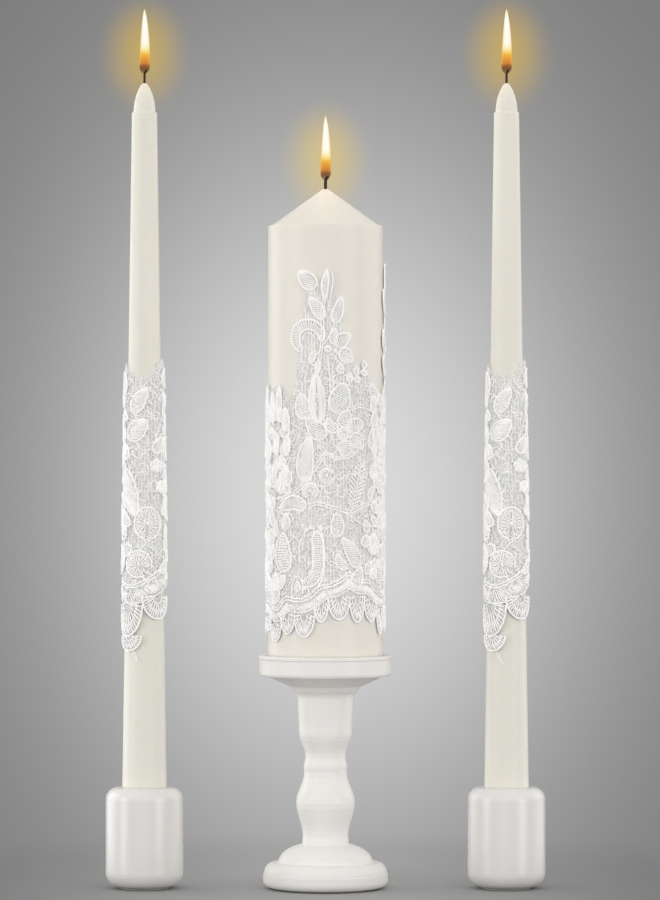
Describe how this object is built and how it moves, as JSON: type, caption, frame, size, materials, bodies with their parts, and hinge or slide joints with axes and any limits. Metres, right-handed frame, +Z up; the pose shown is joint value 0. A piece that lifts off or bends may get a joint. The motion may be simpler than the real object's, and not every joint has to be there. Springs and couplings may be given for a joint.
{
  "type": "unity candle",
  "caption": "Unity candle set: lace-trimmed pillar candle on a turned pedestal, with two lace-trimmed taper candles in rounded ceramic holders, all lit.",
  "frame": {"origin": "on the table, under the axis of the pillar candle", "axes": "+Z up along the pillar; the taper candles stand along X; the front of the set faces -Y"},
  "size_m": [0.2198, 0.0668, 0.4396],
  "materials": {
    "painted_wood": "satin white paint",
    "ceramic": "glossy white glaze",
    "wax": "semi-gloss ivory wax",
    "wick": "braided cotton, charred at its tip",
    "lace": "corded white lace",
    "felt": "wool felt",
    "screw_brass": "plated",
    "tab_tin": "bright",
    "flame": "glowing"
  },
  "bodies": {
    "pedestal": {"holder_base": "painted_wood", "holder_column": "painted_wood", "holder_plate": "painted_wood", "plate_screw": "screw_brass", "base_screw": "screw_brass", "base_felt_pad": "felt"},
    "pillar_candle": {"pillar_wax": "wax", "pillar_wick": "wick", "pillar_wick_tab": "tab_tin", "pillar_lace_net": "lace", "pillar_lace_sprays": "lace", "pillar_lace_border": "lace", "pillar_flame": "flame"},
    "left_stand": {"left_taper_holder": "ceramic", "left_holder_felt": "felt"},
    "left_taper": {"left_taper_wax": "wax", "left_taper_wick": "wick", "left_taper_lace_net": "lace", "left_taper_lace_spray": "lace", "left_taper_lace_border": "lace", "left_taper_flame": "flame"},
    "right_stand": {"right_taper_holder": "ceramic", "right_holder_felt": "felt"},
    "right_taper": {"right_taper_wax": "wax", "right_taper_wick": "wick", "right_taper_lace_net": "lace", "right_taper_lace_spray": "lace", "right_taper_lace_border": "lace", "right_taper_flame": "flame"}
  },
  "joints": [
    {"name": "pillar_lift", "type": "slide", "parent": "pedestal", "child": "pillar_candle", "axis": [0, 0, 1], "range_m": [0, 0.04]},
    {"name": "left_stand_slide", "type": "slide", "parent": "pedestal", "child": "left_stand", "axis": [-1, 0, 0], "range_m": [-0.03, 0.1]},
    {"name": "left_taper_lift", "type": "slide", "parent": "left_stand", "child": "left_taper", "axis": [0, 0, 1], "range_m": [0, 0.045]},
    {"name": "right_stand_slide", "type": "slide", "parent": "pedestal", "child": "right_stand", "axis": [1, 0, 0], "range_m": [-0.03, 0.1]},
    {"name": "right_taper_lift", "type": "slide", "parent": "right_stand", "child": "right_taper", "axis": [0, 0, 1], "range_m": [0, 0.045]}
  ]
}
